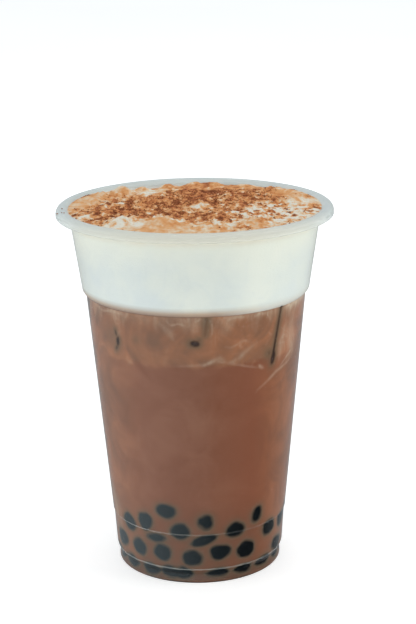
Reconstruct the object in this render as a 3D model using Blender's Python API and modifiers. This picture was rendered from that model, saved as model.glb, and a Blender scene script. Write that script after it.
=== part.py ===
"""A bubble tea in a clear take-away cup.

Four pieces, from the outside in: the cup with its rolled rim and stacking ledge, the tapioca
pearls heaped on its floor, the milk tea above them, and the thick milk foam on top. The cup
stands on its foot ring at z = 0, and its axis is the Z axis. Lengths are in metres.
"""

import random
from math import cos, exp, hypot, pi, radians, sin, sqrt

import bmesh
import bpy
from mathutils import Matrix, Vector

MM = 0.001

# Cup: a thin injection-moulded wall in three straight stretches (band, body and collar)
SIDES = 60                      # facets round every turned piece
WALL = 0.8 * MM                 # wall thickness
FLOOR_TOP = 1.6 * MM            # inside of the floor
BASE_RECESS = 0.7 * MM          # underside of the floor, lifted clear of the table
FOOT_INNER_RADIUS = 26.2 * MM   # the flat ring that the cup stands on runs from here
FOOT_OUTER_RADIUS = 27.9 * MM   # to here
FOOT_BEAD = (28.7 * MM, 1.4 * MM)       # radius and height of the foot's rounded edge
FOOT_GROOVE = (28.15 * MM, 3.4 * MM)    # the waist between the foot and the band
BAND_BOTTOM = (29.5 * MM, 5.6 * MM)     # the band starts with a rounded lower edge
BAND_TOP = (30.36 * MM, 18.45 * MM)
BODY_BOTTOM = (30.67 * MM, 18.95 * MM)  # a small step out, seen as a bright ring
BODY_TOP = (37.97 * MM, 98.2 * MM)
COLLAR_BOTTOM = (39.2 * MM, 99.4 * MM)  # the ledge on which stacked cups catch
COLLAR_TOP = (43.05 * MM, 125.8 * MM)
EDGE_ROUNDING = 1.0 * MM        # corner radius of the band's lower edge and the inner floor
LEDGE_SOFTENING = (0.4 * MM, 0.55 * MM) # the ledge's rounded nose: in from it, and down
STEP_LIFT = 0.4 * MM            # inside, the steps lie a little higher than outside

# Rim: the wall turns out over a crest and hangs down as a short skirt
RIM_INNER = (43.4 * MM, 127.1 * MM)
RIM_CREST = (45.1 * MM, 127.9 * MM)
RIM_RADIUS = 47.5 * MM          # outside of the skirt, 95 mm across
SKIRT_BOTTOM = 124.9 * MM
SKIRT_SHOULDER = 1.9 * MM       # rounding between crest and skirt
CREST_DROP = 0.15 * MM          # the crest is a flat arch, this much lower at its ends
RIM_WALL = 0.9 * MM
RIM_FILLET = 0.6 * MM           # rounding where the rim's underside meets the collar

# Contents, each a small gap clear of its neighbour
GAP = 0.3 * MM
PEARL_RADIUS = 4.0 * MM
PEARL_ROWS = 3
PEARLS_PER_ROW = 15
PEARL_ROW_PITCH = 8.6 * MM
PEARL_STRAY_TURN = 0.12         # how far one strays sideways, in places of its row
PEARL_STRAY_RISE = 0.6 * MM     # and up or down
HEAP_TOP = 29.0 * MM            # the pearls reach this high, and the clear tea starts above
TEA_TOP = 99.4 * MM             # the tea ends and the foam begins at the ledge
FOAM_BOTTOM = TEA_TOP + STEP_LIFT

# Foam: filled to the rim and spooned on, so its top is lumpy
FOAM_EDGE = (42.9 * MM, 127.0 * MM)     # radius and height where it meets the rim
FOAM_CROWN = 0.7 * MM           # the middle stands this much above the edge
FOAM_CROWN_RUN = 3.0 * MM       # and gains that height over this distance
FOAM_CELLS = 36                 # squares across the top
LEAST_STEP = 0.05 * MM          # the foam's side goes down by at least this from its edge
DIP = (-21.0 * MM, 31.0 * MM, 8.0 * MM, 1.5 * MM)  # x, y, spread, depth of the low edge

# The lumps that stand out: place x and y, width, and height, all in mm
LUMPS = (
    (-36.0, 10.0, 7.0, 1.5), (-31.5, 15.5, 5.5, 1.7), (-25.0, 19.5, 7.5, 2.9),
    (-18.5, 26.0, 5.0, 1.6), (-9.5, 29.0, 6.5, 1.9), (-1.0, 32.5, 9.0, 1.5),
    (6.5, 30.0, 8.0, 2.2), (17.5, 31.0, 10.0, 1.3), (27.0, 21.0, 8.0, 1.2),
    (1.5, -4.0, 6.5, 1.9), (-23.0, -25.0, 9.5, 1.7), (-11.5, -27.5, 9.5, 2.0),
    (19.5, -27.0, 9.0, 1.5), (33.0, 3.0, 7.0, 0.9), (-14.0, 6.0, 11.0, 0.9),
    (12.0, 12.0, 12.0, 0.9), (-30.0, -8.0, 9.0, 0.8), (8.0, -17.0, 8.0, 0.8),
)
SMALL_LUMPS = 70                # and smaller ones spread over the whole top
SMALL_LUMP_WIDTH = (2.5 * MM, 5.5 * MM)
SMALL_LUMP_HEIGHT = (0.2 * MM, 0.7 * MM)

SEED = 7
GOLDEN_TURN = pi * (3 - sqrt(5))


def clear_scene():
    """Remove whatever the file holds."""
    for obj in list(bpy.data.objects):
        bpy.data.objects.remove(obj, do_unlink=True)


def new_collection(name):
    collection = bpy.data.collections.new(name)
    bpy.context.scene.collection.children.link(collection)
    return collection


def new_material(name, colour, roughness, alpha=1.0):
    """A Principled material: linear colour, roughness, and alpha for clear plastic."""
    material = bpy.data.materials.new(name)
    material.use_nodes = True
    shader = material.node_tree.nodes["Principled BSDF"]
    shader.inputs["Base Color"].default_value = (*colour, 1.0)
    shader.inputs["Roughness"].default_value = roughness
    shader.inputs["Metallic"].default_value = 0.0
    shader.inputs["Alpha"].default_value = alpha
    material.diffuse_color = (*colour, alpha)
    return material


def mix(a, b, t):
    return a + (b - a) * t


def arc(centre, radius, start, end, steps):
    """Points (r, z) on an arc, its angles in degrees from the outward direction."""
    points = []
    for step in range(steps + 1):
        angle = radians(mix(start, end, step / steps))
        points.append((centre[0] + radius * cos(angle), centre[1] + radius * sin(angle)))
    return points


def outer_radius(z):
    """The wall's outside radius at a height, by its straight stretches."""
    if z < BODY_BOTTOM[1]:
        low, high = BAND_BOTTOM, BAND_TOP
    elif z < COLLAR_BOTTOM[1]:
        low, high = BODY_BOTTOM, BODY_TOP
    else:
        low, high = COLLAR_BOTTOM, COLLAR_TOP
    return mix(low[0], high[0], (z - low[1]) / (high[1] - low[1]))


def inner_radius(z):
    """The wall's inside radius at a height; above the collar it flares to the rim."""
    flare = COLLAR_TOP[1] + WALL
    if z > flare:
        t = (z - flare) / (RIM_INNER[1] - flare)
        return mix(COLLAR_TOP[0] - WALL / 2, RIM_INNER[0], t)
    if z > COLLAR_TOP[1]:
        return COLLAR_TOP[0] - WALL + (z - COLLAR_TOP[1]) / 2
    return outer_radius(z) - WALL


def turned(name, profile, material, collection):
    """A solid of revolution: the profile (r, z) goes once round Z with a Screw modifier."""
    mesh = bpy.data.meshes.new(name)
    shape = bmesh.new()
    verts = [shape.verts.new((r, 0.0, z)) for r, z in profile]
    for first, second in zip(verts, verts[1:]):
        shape.edges.new((first, second))
    shape.to_mesh(mesh)
    shape.free()
    mesh.materials.append(material)
    obj = bpy.data.objects.new(name, mesh)
    collection.objects.link(obj)
    screw = obj.modifiers.new("turn", "SCREW")
    screw.axis = "Z"
    screw.angle = 2 * pi
    screw.steps = SIDES
    screw.render_steps = SIDES
    screw.use_merge_vertices = True
    screw.merge_threshold = 0.01 * MM
    screw.use_smooth_shade = True
    return obj


def applied_mesh(obj, name):
    """The mesh an object has once its modifiers are applied."""
    bpy.context.view_layer.update()
    evaluated = obj.evaluated_get(bpy.context.evaluated_depsgraph_get())
    mesh = bpy.data.meshes.new_from_object(evaluated)
    mesh.name = name
    return mesh


def cup_profile():
    """From the middle of the floor up the inside, over the rim and down the outside."""
    corner = EDGE_ROUNDING
    foot_inside = FOOT_GROOVE[0] - WALL
    inside = [(0.0, FLOOR_TOP)]
    inside += arc((foot_inside - corner, FLOOR_TOP + corner), corner, -90, 0, 3)
    inside += [
        (foot_inside, FOOT_GROOVE[1] + STEP_LIFT),
        (BAND_BOTTOM[0] - WALL, BAND_BOTTOM[1] + STEP_LIFT),
        (BAND_TOP[0] - WALL, BAND_TOP[1]),
        (BODY_BOTTOM[0] - WALL, BODY_BOTTOM[1]),
        (BODY_TOP[0] - WALL, BODY_TOP[1] + STEP_LIFT),
        (COLLAR_BOTTOM[0] - WALL, COLLAR_BOTTOM[1] + STEP_LIFT),
        (COLLAR_TOP[0] - WALL, COLLAR_TOP[1]),
        (inner_radius(COLLAR_TOP[1] + WALL), COLLAR_TOP[1] + WALL),
    ]
    over = [
        RIM_INNER,
        (mix(RIM_INNER[0], RIM_CREST[0], 0.5), RIM_CREST[1] - CREST_DROP),
        RIM_CREST,
    ]
    shoulder = (RIM_RADIUS - SKIRT_SHOULDER, RIM_CREST[1] - CREST_DROP - SKIRT_SHOULDER)
    over += arc(shoulder, SKIRT_SHOULDER, 80, 0, 4)
    skirt_inside = RIM_RADIUS - RIM_WALL
    under = RIM_CREST[1] - RIM_WALL - CREST_DROP
    over += [
        (RIM_RADIUS, SKIRT_BOTTOM),
        (skirt_inside, SKIRT_BOTTOM),
        (skirt_inside, under - RIM_FILLET),
        (RIM_CREST[0], under),
        (COLLAR_TOP[0] + RIM_FILLET, under - RIM_FILLET),
    ]
    outside = [COLLAR_TOP, COLLAR_BOTTOM]
    outside += [(COLLAR_BOTTOM[0] - LEDGE_SOFTENING[0], COLLAR_BOTTOM[1] - LEDGE_SOFTENING[1])]
    outside += [BODY_TOP, BODY_BOTTOM, BAND_TOP]
    outside += arc((BAND_BOTTOM[0] - corner, BAND_BOTTOM[1] + corner / 2), corner, 0, -60, 3)
    outside += [FOOT_GROOVE]
    foot_corner = FOOT_BEAD[0] - FOOT_OUTER_RADIUS
    outside += [FOOT_BEAD]
    outside += arc((FOOT_OUTER_RADIUS, foot_corner), foot_corner, 0, -90, 3)
    outside += [
        (FOOT_INNER_RADIUS, 0.0),
        (FOOT_INNER_RADIUS - BASE_RECESS, BASE_RECESS),
        (0.0, BASE_RECESS),
    ]
    return inside + over + outside


def make_cup(collection):
    clear_plastic = new_material("clear_polypropylene", (0.80, 0.86, 0.88), 0.18, 0.35)
    return turned("cup", cup_profile(), clear_plastic, collection)


def make_milk_tea(collection):
    """The tea fills the body from the top of the pearls to the ledge."""
    tea = new_material("milk_tea", (0.27, 0.13, 0.085), 0.25)
    bottom = HEAP_TOP + GAP
    shoulder = BODY_TOP[1]
    profile = [
        (0.0, TEA_TOP),
        (inner_radius(shoulder) - GAP, TEA_TOP),
        (inner_radius(shoulder) - GAP, shoulder),
        (inner_radius(bottom) - GAP, bottom),
        (0.0, bottom),
    ]
    return turned("milk_tea", profile, tea, collection)


def heap_wall(z):
    """Radius that the heap may reach at a height, just clear of the cup's inside."""
    if z < BAND_BOTTOM[1] + EDGE_ROUNDING:
        return FOOT_GROOVE[0] - WALL - GAP
    return inner_radius(z) - GAP


def pearl_places():
    """Centres of the pearls that lie against the wall, row over row, loosely staggered."""
    draw = random.Random(SEED)
    places = []
    lowest = FLOOR_TOP + GAP + PEARL_RADIUS
    highest = HEAP_TOP - PEARL_RADIUS
    for row in range(PEARL_ROWS):
        for place in range(PEARLS_PER_ROW):
            stray = draw.uniform(-PEARL_STRAY_TURN, PEARL_STRAY_TURN)
            turn = (place + row / 2 + stray) * 2 * pi / PEARLS_PER_ROW
            rise = draw.uniform(-PEARL_STRAY_RISE, PEARL_STRAY_RISE)
            z = min(max(lowest + row * PEARL_ROW_PITCH + rise, lowest), highest)
            r = heap_wall(z - PEARL_RADIUS) - PEARL_RADIUS
            places.append(Vector((r * sin(turn), -r * cos(turn), z)))
    return places


def make_pearls(collection):
    """A heap of pearls: a turned core of packed ones with those that show fused round it."""
    cooked_tapioca = new_material("cooked_tapioca", (0.012, 0.014, 0.016), 0.2)
    bottom = FLOOR_TOP + GAP
    profile = [
        (0.0, HEAP_TOP),
        (heap_wall(HEAP_TOP) - PEARL_RADIUS, HEAP_TOP),
        (heap_wall(bottom) - PEARL_RADIUS, bottom),
        (0.0, bottom),
    ]
    heap = turned("tapioca_pearls", profile, cooked_tapioca, collection)
    loose = new_collection("loose_pearls")
    draw = random.Random(SEED + 1)
    for number, centre in enumerate(pearl_places()):
        shape = bmesh.new()
        bmesh.ops.create_icosphere(shape, subdivisions=2, radius=PEARL_RADIUS)
        spin = Matrix.Rotation(draw.uniform(0, 2 * pi), 4, Vector((1, 1, 1)).normalized())
        bmesh.ops.transform(shape, matrix=Matrix.Translation(centre) @ spin, verts=shape.verts)
        mesh = bpy.data.meshes.new(f"pearl_{number}")
        shape.to_mesh(mesh)
        shape.free()
        mesh.materials.append(cooked_tapioca)
        loose.objects.link(bpy.data.objects.new(mesh.name, mesh))
    union = heap.modifiers.new("fuse", "BOOLEAN")
    union.operation = "UNION"
    union.operand_type = "COLLECTION"
    union.collection = loose
    union.solver = "EXACT"
    fused = applied_mesh(heap, "tapioca_pearls_fused")
    heap.modifiers.clear()
    heap.data = fused
    for pearl in list(loose.objects):
        bpy.data.objects.remove(pearl, do_unlink=True)
    bpy.data.collections.remove(loose)
    fused.shade_smooth()
    fused.set_sharp_from_angle(angle=radians(50))
    return heap


def small_lumps():
    """Small lumps spread evenly over the top, turn by turn outwards."""
    draw = random.Random(SEED + 2)
    lumps = []
    for number in range(SMALL_LUMPS):
        reach = FOAM_EDGE[0] * sqrt((number + 0.5) / SMALL_LUMPS)
        turn = number * GOLDEN_TURN + draw.uniform(-0.3, 0.3)
        width = draw.uniform(*SMALL_LUMP_WIDTH)
        height = draw.uniform(*SMALL_LUMP_HEIGHT)
        lumps.append((reach * cos(turn), reach * sin(turn), width, height))
    return lumps


def foam_height(x, y, lumps):
    """Height of the foam's top: a low crown that meets the rim, a dip, and the lumps."""
    inward = max(FOAM_EDGE[0] - hypot(x, y), 0.0)
    settle = 1 - exp(-inward / FOAM_CROWN_RUN)
    z = FOAM_EDGE[1] + FOAM_CROWN * settle
    dip_x, dip_y, spread, depth = DIP
    z -= depth * exp(-((x - dip_x) ** 2 + (y - dip_y) ** 2) / spread ** 2)
    for lump_x, lump_y, width, height in lumps:
        away = ((x - lump_x) ** 2 + (y - lump_y) ** 2) / (width / 2) ** 2
        z += settle * height * exp(-away)
    return z


def make_milk_foam(collection):
    """A square grid drawn out to a disc is the lumpy top, and its edge runs down the wall."""
    foam = new_material("milk_foam", (0.74, 0.78, 0.70), 0.55)
    lumps = [tuple(value * MM for value in lump) for lump in LUMPS] + small_lumps()
    shape = bmesh.new()
    bmesh.ops.create_grid(shape, x_segments=FOAM_CELLS, y_segments=FOAM_CELLS, size=1.0)
    for vert in shape.verts:
        u, v = vert.co.x, vert.co.y
        x = FOAM_EDGE[0] * u * sqrt(1 - v * v / 2)
        y = FOAM_EDGE[0] * v * sqrt(1 - u * u / 2)
        z = foam_height(x, y, lumps)
        limit = inner_radius(z) - GAP
        shrink = min(1.0, limit / max(hypot(x, y), GAP))
        vert.co = (x * shrink, y * shrink, z)
    for level in (COLLAR_TOP[1] + WALL, COLLAR_TOP[1], FOAM_BOTTOM):
        edges = [edge for edge in shape.edges if edge.is_boundary]
        skirt = bmesh.ops.extrude_edge_only(shape, edges=edges)["geom"]
        for vert in (item for item in skirt if isinstance(item, bmesh.types.BMVert)):
            z = min(level, vert.co.z - LEAST_STEP)
            stretch = (inner_radius(z) - GAP) / hypot(vert.co.x, vert.co.y)
            vert.co = (vert.co.x * stretch, vert.co.y * stretch, z)
    rim = [edge for edge in shape.edges if edge.is_boundary]
    bmesh.ops.contextual_create(shape, geom=rim)
    bmesh.ops.recalc_face_normals(shape, faces=shape.faces)
    mesh = bpy.data.meshes.new("milk_foam")
    shape.to_mesh(mesh)
    shape.free()
    mesh.materials.append(foam)
    mesh.shade_smooth()
    mesh.set_sharp_from_angle(angle=radians(50))
    obj = bpy.data.objects.new("milk_foam", mesh)
    collection.objects.link(obj)
    return obj


def main():
    clear_scene()
    bubble_tea = new_collection("bubble_tea")
    make_cup(bubble_tea)
    make_pearls(bubble_tea)
    make_milk_tea(bubble_tea)
    make_milk_foam(bubble_tea)


main()
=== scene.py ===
# %% [markdown]
# # Bubble tea in a clear take-away cup
# A lesson in cells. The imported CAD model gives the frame: a cup, the pearls in it, the milk tea
# and the milk foam. Each is made again here with the detail the eye expects, in the same place
# and size, and the last cells set the table, the lights and the camera.

import random
from math import asin, atan2, cos, degrees, exp, hypot, pi, radians, sin, sqrt

import bmesh
import bpy
from mathutils import Matrix, Vector, noise
from mathutils.bvhtree import BVHTree


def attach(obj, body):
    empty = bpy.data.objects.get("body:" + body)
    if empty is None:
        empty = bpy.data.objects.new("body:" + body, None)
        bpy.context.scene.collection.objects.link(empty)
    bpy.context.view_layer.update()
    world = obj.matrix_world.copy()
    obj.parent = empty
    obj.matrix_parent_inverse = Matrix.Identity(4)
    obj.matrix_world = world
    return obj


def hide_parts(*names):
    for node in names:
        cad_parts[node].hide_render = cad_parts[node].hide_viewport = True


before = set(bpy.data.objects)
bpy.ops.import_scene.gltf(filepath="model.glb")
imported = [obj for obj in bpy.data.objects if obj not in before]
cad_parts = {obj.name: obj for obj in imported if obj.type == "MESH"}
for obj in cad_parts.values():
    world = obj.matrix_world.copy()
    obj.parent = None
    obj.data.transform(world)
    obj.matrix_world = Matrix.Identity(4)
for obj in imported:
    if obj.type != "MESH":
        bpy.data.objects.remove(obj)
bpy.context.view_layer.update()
MM = 0.001

# %% [markdown]
# Cup, milk tea and foam are all turned shapes, as the mould that made the cup was. Each starts
# as a line of corners (radius, height, rounding) in millimetres. A Screw modifier could turn it
# too, but an operator lets the corners be rounded first, by a bevel of the points, and the
# stretches be cut as finely as the piece needs. Then one spin closes the shape.


# %% Turning a profile
def turned(corners, steps, cut_to=None):
    """A closed solid of revolution from corners in mm. cut_to gives the longest piece of the
    profile at a height, in mm."""
    shape = bmesh.new()
    points = [shape.verts.new((r * MM, 0.0, z * MM)) for r, z, rounding in corners]
    for first, second in zip(points, points[1:]):
        shape.edges.new((first, second))
    for point, (r, z, rounding) in zip(points, corners):
        if rounding:
            bmesh.ops.bevel(shape, geom=[point], offset=rounding * MM, offset_type="OFFSET",
                            segments=4, profile=0.5, affect="VERTICES", material=-1)
    if cut_to:
        for edge in list(shape.edges):
            middle = (edge.verts[0].co.z + edge.verts[1].co.z) / 2 / MM
            cuts = int(edge.calc_length() / MM / cut_to(middle))
            if cuts:
                bmesh.ops.subdivide_edges(shape, edges=[edge], cuts=cuts)
    bmesh.ops.spin(shape, geom=shape.verts[:] + shape.edges[:], cent=(0, 0, 0), axis=(0, 0, 1),
                   dvec=(0, 0, 0), angle=2 * pi, steps=steps, use_merge=True)
    bmesh.ops.remove_doubles(shape, verts=shape.verts, dist=0.002 * MM)
    return shape


# %% [markdown]
# The cup is injection-moulded polypropylene, 0.8 mm thick: a foot, a band between two small
# steps, the body, a ledge on which stacked cups catch, the collar and a rim that turns out and
# down. The sizes are the CAD model's own. Here the turn is finer, the corners are rounded, and
# the underside gets the ring and the small nub that the mould leaves.

# %% The cup's sizes
CUP_CORNERS = [
    (0, 1.6, 0), (27.35, 1.6, 1.0), (27.35, 3.8, 0.3), (28.7, 6.0, 0.5),
    (29.56, 18.45, 0.15), (29.87, 18.95, 0.15), (37.17, 98.6, 0.5), (38.4, 99.8, 0.5),
    (42.25, 125.8, 0.4), (42.65, 126.6, 0.2), (43.4, 127.1, 0.3), (44.25, 127.75, 0.5),
    (45.1, 127.9, 0.4), (47.5, 127.75, 1.9), (47.5, 124.9, 0.3), (46.6, 124.9, 0.3),
    (46.6, 126.85, 0.6), (43.55, 126.85, 0.6), (43.05, 125.8, 0.3), (39.2, 99.4, 0.3),
    (38.8, 98.85, 0.3), (37.97, 98.2, 0.3), (30.67, 18.95, 0.15), (30.36, 18.45, 0.15),
    (29.5, 5.6, 0.7), (28.15, 3.4, 0.4), (28.7, 1.4, 0.4), (28.7, 0, 0.8),
    (26.2, 0, 0.3), (25.5, 0.7, 0.3), (12.4, 0.7, 0.1), (12.1, 0.5, 0.1), (11.6, 0.5, 0.1),
    (11.3, 0.7, 0.1), (2.2, 0.7, 0.3), (1.6, 0.35, 0.2), (0, 0.3, 0),
]
print("the cup is", 2 * max(r for r, z, rounding in CUP_CORNERS), "mm across and",
      max(z for r, z, rounding in CUP_CORNERS), "mm tall")

# %% [markdown]
# Every finish is built from shader nodes. They could be clicked together by hand, but written
# out they can be read and changed. One function turns an sRGB hex colour to the linear values
# Blender works in, and one adds a node with its settings and links. Sockets with long or shared
# names are given by number: a Map Range node's 0 to 4 are the value, the range it has and the
# range it gets, and a Mix node's colours are its inputs 6 and 7 and its output 2.


# %% Colours and nodes
def linear(hex_colour):
    """An sRGB hex colour as linear RGBA."""
    shares = [int(hex_colour[place:place + 2], 16) / 255 for place in (1, 3, 5)]
    return [s / 12.92 if s <= 0.04045 else ((s + 0.055) / 1.055) ** 2.4 for s in shares] + [1.0]


def add_node(tree, kind, inputs=None, ramp=None, **settings):
    """Adds a node: settings are its properties, inputs are values, hex colours or outputs to
    link, and ramp is a list of (position, hex colour) stops."""
    made = tree.nodes.new(kind)
    for name, value in settings.items():
        setattr(made, name, value)
    for socket, value in (inputs or {}).items():
        if isinstance(value, bpy.types.NodeSocket):
            tree.links.new(value, made.inputs[socket])
        else:
            made.inputs[socket].default_value = linear(value) if isinstance(value, str) else value
    for place, (position, colour) in enumerate(ramp or ()):
        stops = made.color_ramp.elements
        stop = stops[place] if place < len(stops) else stops.new(position)
        stop.position, stop.color = position, linear(colour)
    return made


def new_material(name):
    """An empty material, its node tree, and the place on the object, which patterns read."""
    material = bpy.data.materials.new(name)
    material.use_nodes = True
    tree = material.node_tree
    tree.nodes.clear()
    return material, tree, add_node(tree, "ShaderNodeTexCoord").outputs["Object"]


def clouded(tree, vector, scale, detail, roughness, stops):
    """A cloudy noise, and the colour that it picks from the stops at each place."""
    cloud = add_node(tree, "ShaderNodeTexNoise", {
        "Vector": vector, "Scale": scale, "Detail": detail, "Roughness": roughness}).outputs["Fac"]
    return cloud, add_node(tree, "ShaderNodeValToRGB", {0: cloud}, ramp=stops).outputs[0]


# %% [markdown]
# Every shape is made as a bmesh, which operators can work on without anything being selected. At
# the end it becomes an object at the origin, which is shaded smooth up to a sharp angle, rides
# on the cup and takes the place of its CAD node.


# %% From a bmesh to a piece
def add_object(shape, name, material):
    """Writes a bmesh to an object at the origin."""
    mesh = bpy.data.meshes.new(name)
    shape.to_mesh(mesh)
    shape.free()
    mesh.materials.append(material)
    made = bpy.data.objects.new(name, mesh)
    bpy.context.scene.collection.objects.link(made)
    print(name, len(mesh.polygons), "faces")
    return made


def finish_piece(shape, name, material, replaces=None, sharp=50):
    """Makes a bmesh a smoothly shaded piece and hangs it on the cup."""
    bmesh.ops.recalc_face_normals(shape, faces=shape.faces)
    piece = add_object(shape, name, material)
    piece.data.shade_smooth()
    piece.data.set_sharp_from_angle(angle=radians(sharp))
    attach(piece, "root")
    if replaces:
        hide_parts(replaces)
    return piece


# %% [markdown]
# Polypropylene is clear with a slight milkiness, which shows where the plastic is thick and has
# nothing dark behind it, as at the rim. So the shader mixes a clear part, which bends light,
# with a milky part by height. Lamps' light goes straight through the clear part, since a
# path tracer can't find a lamp through bent light. At the two small steps of the band, edges of
# the mould, thin pale rings of milky plastic are a painted highlight, strongest towards the
# window on the left. The rim is a little cream-coloured at the front.


# %% Clear polypropylene
# the thin rings painted as a highlight at the band's two steps
RINGS = [(18.7, 0.22, 0.2), (5.5, 0.26, 0.7)]      # height in mm, strength left and share right


def clear_polypropylene():
    """Polypropylene, injection moulded: glossy and clear, faintly milky, milkiest at the rim."""
    material, tree, place = new_material("clear_polypropylene")
    parts = add_node(tree, "ShaderNodeSeparateXYZ", {0: place}).outputs
    stretch = add_node(tree, "ShaderNodeMapping", {0: place, "Scale": (1.0, 1.0, 0.25)})
    flow, clean = clouded(tree, stretch.outputs[0], 160.0, 3.0, 0.5,
                          [(0.3, "#DEE7E6"), (0.7, "#E6EDEB")])
    bump = add_node(tree, "ShaderNodeBump", {"Height": flow, "Strength": 0.06, "Distance": 0.0004})
    clear = add_node(tree, "ShaderNodeBsdfPrincipled", {
        "Base Color": "#F7FAF9", "Roughness": 0.07, "IOR": 1.49,
        "Transmission Weight": 1.0, "Normal": bump.outputs[0]})
    paths = add_node(tree, "ShaderNodeLightPath")
    open_air = add_node(tree, "ShaderNodeBsdfTransparent")
    for lamp_ray in ("Is Shadow Ray", "Is Diffuse Ray"):
        clear = add_node(tree, "ShaderNodeMixShader", {
            0: paths.outputs[lamp_ray], 1: clear.outputs[0], 2: open_air.outputs[0]})
    # cream towards the front of the rim
    front_tint = add_node(tree, "ShaderNodeMapRange", {
        0: parts["Y"], 1: -0.046, 2: -0.012, 3: 1.0, 4: 0.0})
    milky_tint = add_node(tree, "ShaderNodeMix", {
        "Factor": front_tint.outputs[0], 6: clean, 7: "#F0EEE1"}, data_type="RGBA")
    milky = add_node(tree, "ShaderNodeBsdfPrincipled", {
        "Base Color": milky_tint.outputs[2], "Roughness": 0.22, "IOR": 1.49,
        "Normal": bump.outputs[0]})
    milkiness = 0.0
    for start, end, low, high in ((0.1244, 0.1254, 0.001, 0.6), (0.1262, 0.1272, 0.0, 0.32)):
        rise = add_node(tree, "ShaderNodeMapRange", {
            0: parts["Z"], 1: start, 2: end, 3: low, 4: high}, interpolation_type="SMOOTHSTEP")
        milkiness = add_node(tree, "ShaderNodeMath", {
            0: milkiness, 1: rise.outputs[0]}, operation="ADD").outputs[0]
    # each step adds a thin ring of milky plastic as a painted highlight, strongest on the window
    # side
    for ring, strength, right in RINGS:
        window_highlight = add_node(tree, "ShaderNodeMapRange", {
            0: parts["X"], 1: -0.020, 2: 0.012, 3: strength, 4: strength * right})
        away = add_node(tree, "ShaderNodeMath", {0: parts["Z"], 1: ring * MM},
                        operation="SUBTRACT")
        away = add_node(tree, "ShaderNodeMath", {0: away.outputs[0]}, operation="ABSOLUTE")
        edge = add_node(tree, "ShaderNodeMapRange", {
            0: away.outputs[0], 1: 0.00015, 2: 0.0004, 3: 1.0, 4: 0.0})
        milkiness = add_node(tree, "ShaderNodeMath", {
            0: edge.outputs[0], 1: window_highlight.outputs[0], 2: milkiness},
            operation="MULTIPLY_ADD").outputs[0]
    both = add_node(tree, "ShaderNodeMixShader", {
        0: milkiness, 1: clear.outputs[0], 2: milky.outputs[0]})
    add_node(tree, "ShaderNodeOutputMaterial", {"Surface": both.outputs[0]})
    return material


cup = finish_piece(turned(CUP_CORNERS, 192), "clear_cup", clear_polypropylene(),
                   replaces="cup", sharp=60)

# %% [markdown]
# Whatever fills a clear cup touches its wall, so no air shows between them. The fillings here
# reach 0.35 mm into the wall. This line gives that surface's radius at any height, and every
# place on the wall is named by an angle, from the front towards the right, and a height.

# %% Where the fillings meet the wall
INTO_WALL = 0.35
FOOT_LINE = [(28.0, 0.45), (28.25, 1.4), (27.7, 3.5)]
FILLED_LINE = FOOT_LINE + [(r + INTO_WALL, z) for r, z, rounding in CUP_CORNERS[3:11]]
FLOOR = 1.15
FLOOR_EDGE = (24.9, 26.2)


def filled_radius(z):
    """Radius in mm of the fillings' surface at a height in mm."""
    for (low_r, low_z), (high_r, high_z) in zip(FILLED_LINE, FILLED_LINE[1:]):
        if low_z <= z <= high_z:
            return low_r + (high_r - low_r) * (z - low_z) / (high_z - low_z)
    return FILLED_LINE[0][0] if z < FILLED_LINE[0][1] else FILLED_LINE[-1][0]


def filled_floor(r):
    """Height in mm of the fillings' underside at a radius in mm: it dips into the foot."""
    share = min(max((r - FLOOR_EDGE[0]) / (FLOOR_EDGE[1] - FLOOR_EDGE[0]), 0.0), 1.0)
    return FLOOR + (FOOT_LINE[0][1] - FLOOR) * share


def on_wall(turn, z, depth=0.0):
    """The point in mm at an angle and a height, sunk by depth from the fillings' surface."""
    r = filled_radius(z) - depth
    return Vector((r * sin(radians(turn)), -r * cos(radians(turn)), z))


print("the filling is", round(filled_radius(3), 2), "mm round the axis at the foot and",
      round(filled_radius(90), 2), "near the ledge")

# %% [markdown]
# Tapioca pearls are cooked starch balls of 8 mm, black, wet and soft. They pile up on the floor
# and press flat against the wall, and those flat faces are the dark spots seen from outside. A
# fall of soft bodies would pile them too, but not where the photo has them: the front ones get
# their places one by one, and the others by the same rule all round, over a plain core that stands
# for the pearls deep in the heap.

# %% The pearls' places
PEARL = 4.0
TOUCH = -0.04           # mm past the fillings' surface, so pearls end just inside it
HALO_WIDTH = 1.2        # mm by which its dark halo in the tea widens a flat spot
# angle, height, width and height of the flat spot in mm, and its slant in degrees
FRONT_PEARLS = [
    (-21.8, 27.4, 6.6, 5.3, 0), (-37.7, 22.3, 5.2, 6.7, 10), (-52.9, 19.7, 5.8, 6.0, 0),
    (-12.3, 20.3, 6.3, 5.9, 0), (3.5, 23.9, 4.1, 4.8, -15), (23.9, 19.9, 6.4, 5.5, 0),
    (40.1, 24.0, 3.6, 4.6, 12), (53.0, 16.8, 6.4, 6.0, 0), (-64.9, 11.6, 6.7, 5.7, 0),
    (-44.8, 11.4, 6.0, 6.0, 0), (-30.1, 16.3, 5.6, 2.6, 0), (-26.0, 11.3, 6.1, 6.5, 0),
    (3.4, 16.9, 8.9, 3.3, -20), (13.6, 11.9, 7.1, 5.5, 0), (32.4, 11.3, 6.4, 6.3, 0),
    (-4.8, 10.1, 6.2, 5.9, 10), (65.0, 8.4, 6.7, 4.9, 0), (71.1, 16.9, 5.5, 5.3, 0),
    (-56.1, 4.5, 6.9, 5.8, 0), (-36.4, 4.4, 6.8, 5.8, 0), (-21.5, 4.6, 6.4, 5.8, 0),
    (-12.4, 4.7, 6.0, 5.6, 0), (12.2, 4.3, 6.4, 4.2, 0), (31.3, 4.1, 6.4, 4.4, 0),
    (50.2, 4.7, 6.8, 4.2, 0), (-74.0, 5.0, 6.4, 5.6, 0), (70.0, 4.6, 6.0, 5.2, 0),
]
# height in mm and share of gaps of the rows round the back
BACK_ROWS = [(4.6, 0.0), (11.6, 0.08), (18.2, 0.15), (24.6, 0.45)]
HEAP_CORE = [(0, 2.5, 0), (20, 2.5, 2), (22.5, 18, 3), (14, 22, 3), (0, 23, 0)]
SEED = 11


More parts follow.
